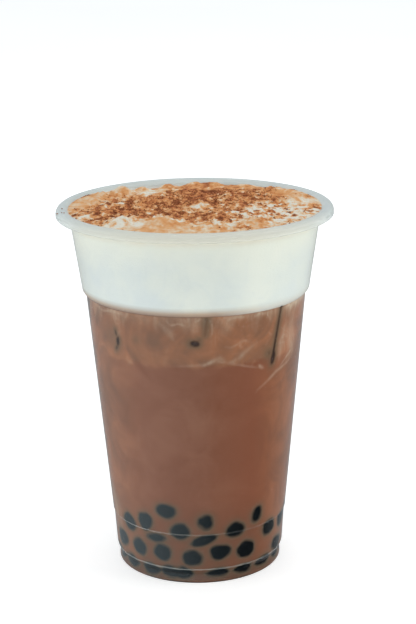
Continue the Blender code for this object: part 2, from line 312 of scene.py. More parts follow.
def back_pearls():
    """Staggered rows round the back, each pearl a little off its place."""
    draw = random.Random(SEED)
    places = []
    for row, (z, gaps) in enumerate(BACK_ROWS):
        for place in range(10):
            turn = 86 + (place + row % 2 / 2) * 19.5 + draw.uniform(-3.5, 3.5)
            width = draw.uniform(4.6, 6.8)
            if draw.random() < gaps:
                continue
            places.append((turn, z + draw.uniform(-1.3, 1.3) * (row > 0), width,
                           draw.uniform(4.6, 6.4), draw.uniform(-20, 20)))
    return places


def spiral(count, edge, start):
    """Places spread evenly over a disc, turn by turn outwards: reach and angle of each."""
    return [(edge * sqrt((number + start) / count), number * pi * (3 - sqrt(5)))
            for number in range(count)]


def floor_pearls():
    """Pearls that lie on the floor inside the outer ring."""
    draw = random.Random(SEED + 1)
    places = []
    for reach, turn in spiral(19, 21.0, 0.4):
        turn += draw.uniform(-0.15, 0.15)
        places.append(Vector((reach * cos(turn), reach * sin(turn),
                              FLOOR + draw.uniform(3.0, 3.7))))
    return places


wall_pearls = FRONT_PEARLS + back_pearls()
print(len(wall_pearls), "pearls at the wall,", len(floor_pearls()), "on the floor")

# %% [markdown]
# Copies of one ball would be light, but no two cooked pearls are alike. So each is an icosphere
# of its own, stretched a little and swollen by a noise, and the part that would pass through
# the wall or the floor is pushed back onto it, as the real ones are pressed flat.


# %% The pearls
def join_shapes(whole, part):
    """Adds a finished bmesh to another."""
    mesh = bpy.data.meshes.new("part")
    part.to_mesh(mesh)
    part.free()
    whole.from_mesh(mesh)
    bpy.data.meshes.remove(mesh)


def add_pearl(shape, centre, size, turn, slant, draw):
    """One pearl in mm: size is its half-widths along the wall, into the cup and upwards."""
    spin = Matrix.Rotation(radians(turn), 4, "Z") @ Matrix.Rotation(radians(slant), 4, "Y")
    made = bmesh.ops.create_icosphere(
        shape, subdivisions=3, radius=1.0,
        matrix=Matrix.Rotation(draw.uniform(0, pi), 4, Vector((1, 1, 1)).normalized()))
    seed = Vector((draw.uniform(0, 90), draw.uniform(0, 90), draw.uniform(0, 90)))
    for vert in made["verts"]:
        swell = 1 + 0.11 * noise.noise(vert.co * 1.3 + seed)
        swell += 0.05 * noise.noise(vert.co * 3.5 + seed)
        vert.co = spin @ Vector((vert.co.x * size[0], vert.co.y * size[1], vert.co.z * size[2]))
        vert.co = vert.co * swell + centre
        reach = hypot(vert.co.x, vert.co.y)
        vert.co.z = max(vert.co.z, filled_floor(reach) - TOUCH)
        limit = filled_radius(vert.co.z) + TOUCH
        if reach > limit:
            vert.co.x, vert.co.y = vert.co.x * limit / reach, vert.co.y * limit / reach
        vert.co *= MM


def make_pearls():
    """The whole heap: the pearls at the wall, those on the floor, and the core."""
    shape = bmesh.new()
    draw = random.Random(SEED + 2)
    for turn, z, width, height, slant in wall_pearls:
        mean = (width + height) / 2
        half = min((mean - HALO_WIDTH) / 2, PEARL - 0.3)
        sunk = sqrt(PEARL ** 2 - half ** 2)
        size = (PEARL * width / mean, PEARL, PEARL * height / mean)
        add_pearl(shape, on_wall(turn, z, sunk), size, turn, slant, draw)
    for centre in floor_pearls():
        size = [PEARL * draw.uniform(0.94, 1.04) for axis in range(3)]
        add_pearl(shape, centre, size, draw.uniform(0, 360), 0, draw)
    join_shapes(shape, turned(HEAP_CORE, 48))
    return shape


# %% [markdown]
# Cooked tapioca is a dense black jelly with a smooth wet skin. Lying against the wall it shows
# no gloss of its own, only a deep slate black that is a little uneven.


# %% Cooked tapioca
def cooked_tapioca():
    """Cooked black tapioca: a smooth wet jelly, slate black with browner patches."""
    material, tree, place = new_material("cooked_tapioca")
    patches, tint = clouded(tree, place, 300.0, 3.0, 0.6,
                            [(0.35, "#0E1214"), (0.55, "#161C1F"), (0.75, "#221F1E")])
    bump = add_node(tree, "ShaderNodeBump", {
        "Height": patches, "Strength": 0.2, "Distance": 0.0003})
    shader = add_node(tree, "ShaderNodeBsdfPrincipled", {
        "Base Color": tint, "Roughness": 0.3, "IOR": 1.4,
        "Specular IOR Level": 0.2, "Normal": bump.outputs[0]})
    add_node(tree, "ShaderNodeOutputMaterial", {"Surface": shader.outputs[0]})
    return material


pearl_shape = make_pearls()
pearl_surface = BVHTree.FromBMesh(pearl_shape)
finish_piece(pearl_shape, "tapioca_pearls_heap", cooked_tapioca(),
             replaces="tapioca_pearls")

# %% [markdown]
# Ice cubes float at the top of the tea, under the foam. They are clear, so where an edge or a
# corner touches the wall the eye looks into dark tea instead of milk. Each cube is a bevelled
# cube of 20 mm, placed by the upright edge that comes nearest to the wall: an upper and a lower
# point on it, each with a depth below the fillings' surface. Corners that have melted round are
# icospheres drawn out to the shape of the spot they make.

# %% The ice cubes
# upper angle, height and depth, lower angle, height and depth, rounding, in degrees and mm
ICE_EDGES = [
    (48.6, 98.6, 0.08, 44.0, 79.0, -0.05, 0.6), (5.0, 98.0, 0.25, 4.0, 90.0, 0.35, 1.8),
    (-75.0, 99.0, -0.02, -79.5, 90.0, 0.1, 0.5), (-50.0, 97.0, 2.6, -50.0, 84.5, 2.2, 1.8),
    (100.0, 97.0, -0.04, 104.0, 80.0, 0.3, 0.6), (141.0, 96.0, 0.9, 137.0, 82.0, 0.9, 1.6),
    (188.0, 98.0, -0.04, 185.0, 79.0, 0.0, 0.6), (236.0, 96.0, 1.4, 240.0, 84.0, 1.2, 1.6),
]
# angle, height, depth, half-width, half-height and slant of melted corners near the wall
ICE_CORNERS = [
    (-1.0, 89.1, -0.20, 3.0, 2.0, 10), (-3.2, 88.9, 0.40, 2.2, 1.2, 0),
    (1.4, 90.4, 0.30, 2.2, 2.2, 35), (-46.8, 90.2, 0.10, 1.2, 3.4, -10),
    (-45.7, 87.4, -0.12, 1.5, 3.6, 8), (-47.0, 84.8, 0.10, 1.1, 2.6, 30),
    (-50.0, 88.6, 0.9, 3.0, 6.5, 0), (-33.0, 88.9, 0.75, 2.6, 1.8, 0),
    (41.5, 83.0, 0.30, 3.2, 4.2, -25), (44.9, 81.0, -0.25, 1.6, 4.4, 12),
    (48.7, 98.3, -0.20, 1.2, 1.0, 0), (137.0, 84.0, -0.10, 3.0, 4.0, 20),
    (239.0, 86.0, -0.08, 4.5, 2.5, -15), (170.0, 90.0, 0.5, 4.0, 3.5, 0),
]
ICE_SIDE = 20.0
ICE_TOP = 99.5
ICE_CORNER_DEEP = 3.0


def add_ice(shape, upper, lower, length, rounding):
    """A cube with its nearest upright edge on the line from upper to lower, in mm."""
    along = (upper - lower).normalized()
    outward = Vector((upper.x, upper.y, 0.0))
    outward = (outward - along * outward.dot(along)).normalized()
    across = along.cross(outward)
    turn = Matrix((outward, across, along)).transposed().to_4x4()
    turn = turn @ Matrix.Rotation(radians(45), 4, "Z")
    hidden = rounding * (sqrt(2) - 1)
    centre = lower + along * (length / 2) - outward * (ICE_SIDE / sqrt(2) - hidden)
    size = Matrix.Diagonal((ICE_SIDE, ICE_SIDE, length, 1.0))
    made = bmesh.ops.create_cube(shape, size=1.0, matrix=Matrix.Translation(centre) @ turn @ size)
    edges = {edge for vert in made["verts"] for edge in vert.link_edges}
    bmesh.ops.bevel(shape, geom=list(edges), offset=rounding, offset_type="OFFSET",
                    segments=6, profile=0.5, affect="EDGES", material=-1)


def make_ice():
    """All the cubes and melted corners."""
    shape = bmesh.new()
    for up_turn, up_z, up_depth, low_turn, low_z, low_depth, rounding in ICE_EDGES:
        upper, lower = on_wall(up_turn, up_z, up_depth), on_wall(low_turn, low_z, low_depth)
        add_ice(shape, upper, lower, ICE_TOP - low_z, rounding)
    for turn, z, depth, half_width, half_height, slant in ICE_CORNERS:
        place = Matrix.Translation(on_wall(turn, z, depth + ICE_CORNER_DEEP))
        spin = Matrix.Rotation(radians(turn), 4, "Z") @ Matrix.Rotation(radians(slant), 4, "Y")
        size = Matrix.Diagonal((half_width, ICE_CORNER_DEEP, half_height, 1.0))
        bmesh.ops.create_icosphere(shape, subdivisions=4, radius=1.0, matrix=place @ spin @ size)
    for vert in shape.verts:
        vert.co *= MM
    return shape


# %% [markdown]
# Ice from a machine is clear with a cloudy heart. Seen against the wall in milk tea it reads as
# a dark brown, glassy streak.


# %% Clear ice
def clear_ice():
    """Clear ice, melted smooth: dark where it shows tea, cloudier in patches."""
    material, tree, place = new_material("clear_ice")
    tint = clouded(tree, place, 220.0, 4.0, 0.6, [
        (0.35, "#2B1F1C"), (0.6, "#43322C"), (0.8, "#6B5448")])[1]
    shader = add_node(tree, "ShaderNodeBsdfPrincipled", {
        "Base Color": tint, "Roughness": 0.12, "IOR": 1.31, "Specular IOR Level": 0.2})
    add_node(tree, "ShaderNodeOutputMaterial", {"Surface": shader.outputs[0]})
    return material


ice_shape = make_ice()
ice_surface = BVHTree.FromBMesh(ice_shape)
finish_piece(ice_shape, "ice_cubes", clear_ice())

# %% [markdown]
# The milk tea fills the cup from the floor to the ledge, round the pearls too. It is turned like
# the cup and cut finely where pearls and ice come near the wall. Three values are then measured
# at each of its points: how near the next pearl is, how near the next ice is, and how much foam
# has sunk there in wisps. The material reads them. They could be painted by hand as well, but
# measured values stay true when a pearl moves.

# %% The milk tea's shape
TEA_TOP = 98.45
TEA_STEPS = 420
FINE_BELOW, FINE_ABOVE = 32.0, 68.0
TEA_CORNERS = [(0, FLOOR, 0), (FLOOR_EDGE[0], FLOOR, 0.2), (FLOOR_EDGE[1], FOOT_LINE[0][1], 0.2)]
TEA_CORNERS += [(r, z, 0.2) for r, z in FILLED_LINE[:4]]
TEA_CORNERS += [(r, z, 0.1) for r, z in FILLED_LINE[4:6]]
TEA_CORNERS += [(filled_radius(z), z, 0) for z in (FINE_BELOW, FINE_ABOVE, TEA_TOP)]
TEA_CORNERS += [(0, TEA_TOP, 0)]
print("the tea stands", round(TEA_TOP - FLOOR, 2), "mm high")


def tea_cut(z):
    """Longest stretch of the profile at a height, in mm."""
    if z > TEA_TOP - 0.05:
        return 6.0
    if abs(z - FLOOR) < 0.01:
        return 1.0
    return 0.45 if z < FINE_BELOW or z > FINE_ABOVE else 1.5


# %% [markdown]
# Wisps are threads of foam that sink along the wall. Each is a line of places on the wall with a
# width in millimetres and a strength; its effect fades with the distance from the line.

# %% The wisps of foam
WISPS = [
    ([(-14, 80.8), (-4, 81.1), (4, 81.4), (9, 82.6), (14, 82.1), (19, 81.9)], 0.6, 0.26),
    ([(3, 80.9), (7, 82.4), (12, 83.6), (15, 82.6)], 0.8, 0.30),
    ([(17, 81.4), (21.5, 82.5), (25.5, 84.6), (33, 87.4)], 1.0, 0.26),
    ([(13, 87.6), (18, 86.8), (25, 89.0), (30, 87.6)], 0.35, 0.20),
    ([(11.6, 82.2), (21.6, 80.6), (31.4, 78.8), (38.3, 77.6)], 0.35, 0.26),
    ([(34, 79.4), (38.6, 77.4)], 0.5, 0.45),
    ([(64, 78.3), (58.4, 76.9), (48.0, 75.0), (41.1, 72.4), (33.5, 69.6)], 0.6, 0.34),
    ([(63, 80.8), (57, 79.0), (51, 76.4)], 0.35, 0.40),
    ([(60, 95.0), (59, 88.0), (62, 81.0), (57, 78.0)], 2.6, 0.40),
    ([(54, 92.0), (51, 85.0), (50, 79.0)], 1.6, 0.38),
    ([(5.8, 98.2), (8.0, 95.0), (8.0, 92.6), (6.4, 90.6)], 0.28, 0.45),
    ([(-1.6, 96.2), (1.3, 97.3), (4.6, 97.9)], 0.25, 0.40),
    ([(15, 96.6), (20.8, 97.6), (26, 96.8)], 0.6, 0.30),
    ([(29, 95.6), (33, 97.6), (38, 97.0), (42, 93.6)], 0.5, 0.34),
    ([(88, 98.6), (70, 98.4), (57, 97.8), (51, 97.2)], 1.9, 0.95),
    ([(14, 97.6), (24, 97.2), (34, 97.4), (44, 97.0)], 1.2, 0.26),
    ([(-66, 97.8), (-56, 96.4), (-48, 97.4), (-38, 96.8)], 0.5, 0.34),
    ([(-20, 96.4), (-14, 93.0), (-12, 90.0)], 1.2, 0.26),
    ([(-17, 97.6), (-13, 95.2), (-9, 95.9), (-3, 94.6)], 0.4, 0.34),
    ([(-77, 32.0), (-70, 24.0), (-68, 12.0), (-72, 4.0)], 3.5, 0.34),
    ([(84, 97.0), (92, 92.0), (99, 86.0), (112, 82.0)], 0.7, 0.36),
    ([(120, 95.0), (131, 90.5), (145, 92.5), (160, 88.0)], 0.6, 0.34),
    ([(150, 84.0), (166, 81.0), (180, 82.5), (196, 80.0)], 0.5, 0.32),
    ([(176, 97.0), (190, 90.0), (203, 86.5), (214, 88.0)], 0.8, 0.34),
    ([(230, 97.0), (244, 91.0), (256, 92.5), (270, 87.0)], 0.7, 0.34),
]


def wisp_at(turn, z):
    """How much sunken foam shows at a place on the wall, from 0 to 1."""
    total = 0.0
    for line, width, strength in WISPS:
        if abs(turn - line[0][0]) > 60 or abs(z - line[0][1]) > 40:
            continue
        nearest, along = 99.0, 0.0
        for number, ((a_turn, a_z), (b_turn, b_z)) in enumerate(zip(line, line[1:])):
            arc = filled_radius(z) * pi / 180
            ax, ay = (turn - a_turn) * arc, z - a_z
            bx, by = (b_turn - a_turn) * arc, b_z - a_z
            share = min(max((ax * bx + ay * by) / (bx * bx + by * by), 0.0), 1.0)
            away = hypot(ax - bx * share, ay - by * share)
            if away < nearest:
                nearest, along = away, (number + share) / (len(line) - 1)
        taper = sin(pi * (0.1 + 0.8 * along))
        total += strength * taper * exp(-(nearest / (width * taper)) ** 2)
    return min(total, 1.0)


print(len(WISPS), "wisps of foam")

# %% [markdown]
# Milk tea with ice is a warm brown, paler and greyer where foam has mixed in just under the
# ledge, redder towards the right, and paler towards both sides, which is painted light from the
# side lamps. It darkens softly round each pearl, where the milk layer gets thin, and a thin line
# right under the ledge is painted shadow. Fine threads of foam run all through the upper part: a
# distorted noise crosses its middle along thin curved lines, and those lines are the threads.
# Light that scatters in a real liquid would show all this by itself, but slowly and with noise.
# So the liquid is opaque, its changes are fades from one number range to another, and its tints
# are laid over each other from the bottom up, each by the share that a fade gives.


# %% Threads of foam
def threads(tree, vector, scale, width):
    """Thin curved threads, 1 on the line and 0 beside it."""
    field = add_node(tree, "ShaderNodeTexNoise", {
        "Vector": vector, "Scale": scale, "Detail": 3.0, "Roughness": 0.45, "Distortion": 1.4})
    away = add_node(tree, "ShaderNodeMath", {0: field.outputs["Fac"], 1: 0.5},
                    operation="SUBTRACT")
    away = add_node(tree, "ShaderNodeMath", {0: away.outputs[0]}, operation="ABSOLUTE")
    return add_node(tree, "ShaderNodeMapRange", {
        0: away.outputs[0], 1: 0.0, 2: width, 3: 1.0, 4: 0.0}).outputs[0]


# %% What the tea's tints follow
def tea_shares(tree, place):
    """The cloud that the brown follows, and the share of each tint that is laid over it."""
    parts = add_node(tree, "ShaderNodeSeparateXYZ", {0: place}).outputs
    x, height = parts["X"], parts["Z"]
    aside = add_node(tree, "ShaderNodeMath", {0: x}, operation="ABSOLUTE").outputs[0]
    near_pearl, near_ice, wisps = [
        add_node(tree, "ShaderNodeAttribute", attribute_name=name).outputs["Fac"]
        for name in ("near_pearl", "near_ice", "foam_wisp")]
    # foam is drawn out downwards as it sinks
    drawn_out = add_node(tree, "ShaderNodeMapping", {0: place, "Scale": (1.0, 1.0, 0.25)})
    cloud, fingers, streaks = [
        add_node(tree, "ShaderNodeTexNoise", {
            "Vector": vector, "Scale": scale, "Detail": detail, "Roughness": roughness,
            "Distortion": distortion}).outputs["Fac"]
        for vector, scale, detail, roughness, distortion in (
            (place, 70.0, 4.0, 0.6, 0.9), (drawn_out.outputs[0], 170.0, 3.0, 0.55, 0.5),
            (drawn_out.outputs[0], 420.0, 3.0, 0.6, 1.2))]
    fades = {}
    for name, value, start, end, low, high in (
            # redder towards the right
            ("redder right", x, 0.002, 0.022, 0.0, 0.9),
            ("among pearls", height, 0.018, 0.032, 0.5, 0.0),
            ("wavy level", cloud, 0.3, 0.7, -0.0012, 0.0012),
            # paler towards both sides: painted light from the side lamps
            ("lit sides", aside, 0.018, 0.031, 0.0, 0.8),
            ("settled syrup", height, 0.0048, 0.0060, 0.75, 0.0),
            ("finger length", fingers, 0.3, 0.7, -0.0035, 0.0035),
            ("streaks", streaks, 0.3, 0.7, 0.35, 1.25),
            ("thread strength", cloud, 0.45, 0.62, 0.0, 0.22),
            # a thin dark line right under the ledge: painted shadow of the ledge
            ("ledge shadow", height, 0.0978, 0.0983, 0.0, 0.45),
            ("ice shade", near_ice, 0.02, 0.5, 0.0, 0.6),
            ("ice heart", near_ice, 0.55, 0.95, 0.0, 0.95),
            ("pearl halo", near_pearl, 0.02, 0.45, 0.0, 0.75),
            ("pearl heart", near_pearl, 0.3, 0.8, 0.0, 1.0),
            ("darker right", x, -0.02, 0.014, 0.0, 1.0)):
        fades[name] = add_node(tree, "ShaderNodeMapRange", {
            0: value, 1: start, 2: end, 3: low, 4: high}).outputs[0]
    # the ice thins the tea down to a wavy level, and foam sinks in fingers under the ledge
    bands = []
    for shift, start, end, high in ((fades["wavy level"], 0.0792, 0.0818, 1.0),
                                    (fades["finger length"], 0.0925, 0.1000, 0.38)):
        level = add_node(tree, "ShaderNodeMath", {0: height, 1: shift}, operation="ADD")
        bands.append(add_node(tree, "ShaderNodeMapRange", {
            0: level.outputs[0], 1: start, 2: end, 3: 0.0, 4: high},
            interpolation_type="SMOOTHSTEP").outputs[0])
    thinned, under_ledge = bands
    # paler where ice thins the tea, and at both sides as painted light
    fades["paler"] = add_node(tree, "ShaderNodeMath", {0: thinned, 1: fades["lit sides"]},
                              operation="MAXIMUM").outputs[0]
    thread = threads(tree, place, 130.0, 0.02)
    for share in (fades["thread strength"], thinned):
        thread = add_node(tree, "ShaderNodeMath", {0: thread, 1: share},
                          operation="MULTIPLY").outputs[0]
    foam = add_node(tree, "ShaderNodeMath", {0: under_ledge, 1: wisps}, operation="ADD")
    fades["foam"] = add_node(tree, "ShaderNodeMath", {
        0: foam.outputs[0], 1: fades["streaks"], 2: thread},
        operation="MULTIPLY_ADD", use_clamp=True).outputs[0]
    return cloud, fades


# %% Milk tea
def milk_tea():
    """Milk tea: an opaque liquid, warm brown, greyer and paler under the foam."""
    material, tree, place = new_material("milk_tea_liquid")
    cloud, shares = tea_shares(tree, place)
    colour, upper = [
        add_node(tree, "ShaderNodeValToRGB", {0: cloud}, ramp=stops).outputs[0]
        for stops in ([(0.3, "#805340"), (0.5, "#875A47"), (0.7, "#8D614D")],
                      [(0.34, "#7F5D4A"), (0.5, "#93664D"), (0.66, "#A87153")])]
    # the pearls show paler and greyer towards the left, darker towards the right
    pearl_tone = add_node(tree, "ShaderNodeMix", {
        "Factor": shares["darker right"], 6: "#2F393D", 7: "#0B1013"}, data_type="RGBA").outputs[2]
    for name, tint in (
            ("redder right", "#834F3A"), ("among pearls", "#6F4E3E"), ("paler", upper),
            ("settled syrup", "#6C5043"), ("foam", "#C8B199"), ("ledge shadow", "#694A3E"),
            ("ice shade", "#655A49"), ("ice heart", "#32241F"),
            ("pearl halo", "#5F5A4C"), ("pearl heart", pearl_tone)):
        colour = add_node(tree, "ShaderNodeMix", {"Factor": shares[name], 6: colour, 7: tint},
                          data_type="RGBA").outputs[2]
    shader = add_node(tree, "ShaderNodeBsdfPrincipled", {
        "Base Color": colour, "Roughness": 0.4, "IOR": 1.34, "Specular IOR Level": 0.05})
    add_node(tree, "ShaderNodeOutputMaterial", {"Surface": shader.outputs[0]})
    return material


# %% [markdown]
# Now the tea is turned, and each of its points gets its values. A search tree of the pearls and
# one of the ice find the spot that is nearest to a point.

# %% The milk tea
PEARL_HALO = 0.72       # mm over which the dark of a pearl or an ice cube fades
ICE_HALO = 0.7
tea = finish_piece(turned(TEA_CORNERS, TEA_STEPS, tea_cut), "milk_tea_filling", milk_tea(),
                   replaces="milk_tea")


def write_values(mesh, **values):
    """Writes one number for each point of a mesh under each name."""
    for name, numbers in values.items():
        mesh.attributes.new(name, "FLOAT", "POINT").data.foreach_set("value", numbers)


def nearness(surface, place, halo):
    """1 on a surface, fading over a halo in mm to 0 beside it."""
    away = surface.find_nearest(place, 6 * MM)[3]
    return 0.0 if away is None else exp(-away / MM / halo)


def measure_tea(mesh):
    """Writes the three values at each point of the tea."""
    pearl_values, ice_values, wisp_values = [], [], []
    for vert in mesh.vertices:
        x, y, z = vert.co / MM
        low, high = z < FINE_BELOW + 2, z > FINE_ABOVE - 2
        pearl_values.append(nearness(pearl_surface, vert.co, PEARL_HALO) if low else 0.0)
        ice_values.append(nearness(ice_surface, vert.co, ICE_HALO) if high else 0.0)
        turn = degrees(atan2(x, -y))
        at_wall = hypot(x, y) > 25
        wisp_values.append(wisp_at(turn if turn > -85 else turn + 360, z) if at_wall else 0.0)
    write_values(mesh, near_pearl=pearl_values, near_ice=ice_values, foam_wisp=wisp_values)
    print("near a pearl:", sum(value > 0.5 for value in pearl_values), "points of the tea")


measure_tea(tea.data)

# %% [markdown]
# Milk foam fills the collar to the rim and is spooned on, so its top is a field of soft lumps.
# A turned disc would crowd its points at the middle, so a square grid drawn out to a disc is the
# top: the large lumps are the CAD model's own, finer folds come from noise, and the edge is
# pushed down along the wall to the ledge.

# %% The foam's lumps
FOAM_EDGE = (42.9, 127.0)
FOAM_CROWN = (0.7, 3.0)             # height, and the width of the slope at the rim
DIP = (-21.0, 31.0, 8.0, 1.0)       # x, y, radius and depth
BACK_SLOPE = (22.0, 40.0, 1.6)      # from, to and depth: it lies a little lower at the back
HIGHEST = 130.1                     # mm that no lump reaches past
# x, y, radius and height of the large lumps in mm
LUMPS = [
    (-36.0, 10.0, 3.5, 1.5), (-31.5, 15.5, 2.75, 1.7), (-25.0, 19.5, 3.75, 2.9),
    (-18.5, 26.0, 2.5, 1.6), (-9.5, 29.0, 3.25, 1.9), (-1.0, 32.5, 4.5, 1.5),
    (6.5, 30.0, 4.0, 2.2), (17.5, 31.0, 5.0, 1.3), (27.0, 21.0, 4.0, 1.2),
    (1.5, -4.0, 3.25, 1.9), (-23.0, -25.0, 4.75, 1.7), (-11.5, -27.5, 4.75, 2.0),
    (19.5, -27.0, 4.5, 1.5), (33.0, 3.0, 3.5, 0.9), (-14.0, 6.0, 5.5, 0.9),
    (12.0, 12.0, 6.0, 0.9), (-30.0, -8.0, 4.5, 0.8), (8.0, -17.0, 4.0, 0.8),
]


def small_lumps():
    """Small lumps spread evenly over the top."""
    draw = random.Random(9)
    lumps = []
    for reach, turn in spiral(70, FOAM_EDGE[0], 0.5):
        turn += draw.uniform(-0.3, 0.3)
        width, height = draw.uniform(2.5, 5.5), draw.uniform(0.2, 0.7)
        lumps.append((reach * cos(turn), reach * sin(turn), width / 2, height))
    return lumps


FOAM_LUMPS = LUMPS + small_lumps()
print(len(FOAM_LUMPS), "lumps of foam")


def patches_at(patches, x, y):
    """The sum of soft round patches at a place."""
    total = 0.0
    for patch_x, patch_y, radius, amount in patches:
        away = ((x - patch_x) ** 2 + (y - patch_y) ** 2) / radius ** 2
        if away < 9:
            total += amount * exp(-away)
    return total


def knoll(x, y):
    """Round knolls of 2 to 3 mm with creases between them, from 0 to about 0.8."""
    return abs(noise.noise(Vector((x * 0.42, y * 0.42, 3.1))))


def folds(x, y):
    """Fine relief in mm: the knolls, smaller ones on them, and fine crumbs."""
    small = abs(noise.noise(Vector((x * 0.95, y * 0.95, 8.4))))
    crumb = noise.noise(Vector((x * 2.3, y * 2.3, 1.7)))
    calm = 1 - 0.6 * min(max((y - 15) / 12, 0.0), 1.0)
    return calm * (1.3 * (knoll(x, y) - 0.3) + 0.5 * (small - 0.25) + 0.10 * crumb)


def foam_height(x, y):
    """Height of the foam's top in mm: a low crown that meets the rim, a dip and the lumps."""
    inward = max(FOAM_EDGE[0] - hypot(x, y), 0.0)
    settle = 1 - exp(-inward / FOAM_CROWN[1])
    z = FOAM_EDGE[1] + FOAM_CROWN[0] * settle
    z -= DIP[3] * exp(-((x - DIP[0]) ** 2 + (y - DIP[1]) ** 2) / DIP[2] ** 2)
    far = min(max((y - BACK_SLOPE[0]) / (BACK_SLOPE[1] - BACK_SLOPE[0]), 0.0), 1.0)
    z -= BACK_SLOPE[2] * far * far * (3 - 2 * far)
    return min(z + settle * (patches_at(FOAM_LUMPS, x, y) + folds(x, y)), HIGHEST)


# %% The foam
FOAM_CELLS = 200
FOAM_BOTTOM = 98.15
FOAM_LEVELS = (126.6, 125.8, 112.0, 99.8, 98.6, FOAM_BOTTOM)


def make_foam():
    """The top, a skirt along the wall and a flat underside."""
    shape = bmesh.new()
    bmesh.ops.create_grid(shape, x_segments=FOAM_CELLS, y_segments=FOAM_CELLS, size=1.0)
    for vert in shape.verts:
        u, v = vert.co.x, vert.co.y
        x = FOAM_EDGE[0] * u * sqrt(1 - v * v / 2)
        y = FOAM_EDGE[0] * v * sqrt(1 - u * u / 2)
        z = foam_height(x, y)
        stretch = filled_radius(z) / FOAM_EDGE[0]
        vert.co = (x * stretch * MM, y * stretch * MM, z * MM)
    for level in FOAM_LEVELS:
        edges = [edge for edge in shape.edges if edge.is_boundary]
        skirt = bmesh.ops.extrude_edge_only(shape, edges=edges)["geom"]
        for vert in (item for item in skirt if isinstance(item, bmesh.types.BMVert)):
            z = min(level, vert.co.z / MM - 0.05)
            stretch = (filled_radius(z) + 0.03) * MM / hypot(vert.co.x, vert.co.y)
            vert.co = (vert.co.x * stretch, vert.co.y * stretch, z * MM)
    underside = [edge for edge in shape.edges if edge.is_boundary]
    bmesh.ops.contextual_create(shape, geom=underside)
    return shape


# %% [markdown]
# Cocoa is sieved over the foam. Where it lies thick the foam is dark brown and grainy, and the
# foam shows cream between its islands. Where it has drunk the foam's moisture it turns smooth
# and tan, as on the domes and along the rim. Patches (place, radius, amount) say how thick it
# lies, how much it breaks up into islands and how wet it is; noise does the breaking up.

# %% How thick and how wet the cocoa lies
COCOA_PATCHES = [
    (0, 5, 18, 0.18), (-25, -10, 9, 0.15), (-30, -21, 5, 0.18), (-4, -17, 9, 0.10),
    (6, 24, 10, 0.18), (24, 14, 8, 0.16), (-41, 2, 7, -0.08), (-38, -18, 5, -0.24),
    (-36, 11, 6, -0.10), (-26, 20, 5, -0.12), (-31, 25, 5, -0.40), (-16, 21, 5, -0.34),
    (-12, 28, 5, -0.16), (-25, -29, 6, -0.36), (-14, -31, 6, -0.02), (-12, -24, 2.5, -0.40),
    (-6, -27, 2.5, -0.30), (1, -7, 4.5, -0.34), (9, -31, 5, -0.20), (0, -42, 12, -0.15),
    (-20, -40, 6, -0.10), (26, -12, 11, -0.34), (38, -14, 7, -0.18), (28, -29, 6, -0.26),
    (37, -26, 6, -0.22), (39, 4, 7, -0.24), (33, 19, 7, -0.10), (7, 26, 3, -0.24),
    (17, 19, 3, -0.22), (10, 12, 3, -0.18), (18, 33, 4, -0.22), (26, 15, 2, -0.20),
    (0, 43, 6, -0.20), (-18, -31, 2.0, -0.25), (14, -32, 6, -0.04),
]
BROKEN_PATCHES = [(28, -16, 13, 0.75), (-36, -17, 6, 0.45), (12, -28, 8, 0.45), (-29, -1, 6, 0.4)]
WET_PATCHES = [
    (-40, 2, 8, 1.0), (-36, 12, 6, 1.0), (-26, 20, 5, 1.0), (-16, 25, 6, 0.8), (-12, -32, 7, 1.0),
    (-20, -39, 8, 1.0), (0, -42, 13, 1.0), (20, -31, 5, 1.0), (39, 4, 8, 1.0), (33, 18, 8, 0.9),
    (18, 34, 9, 0.8), (2, 38, 10, 0.5), (-26, -28, 5, 0.3),
]


def wet_at(x, y):
    """How wet the cocoa is, from 0 to 1."""
    return min(patches_at(WET_PATCHES, x, y), 1.0)


def cocoa_at(x, y):
    """Thickness of the cocoa at a place, from 0 to 1."""
    breaking = (0.5 + patches_at(BROKEN_PATCHES, x, y)) * (1 - 0.65 * wet_at(x, y))
    islands = 0.9 * noise.noise(Vector((x * 0.38, y * 0.38, 6.2)))
    islands += 0.6 * noise.noise(Vector((x * 0.95, y * 0.95, 4.4)))
    islands *= 0.7 if islands < 0 else 1.0
    amount = 0.42 - 0.02 * wet_at(x, y) + patches_at(COCOA_PATCHES, x, y) + breaking * islands
    return min(max(amount, 0.0), 1.0)
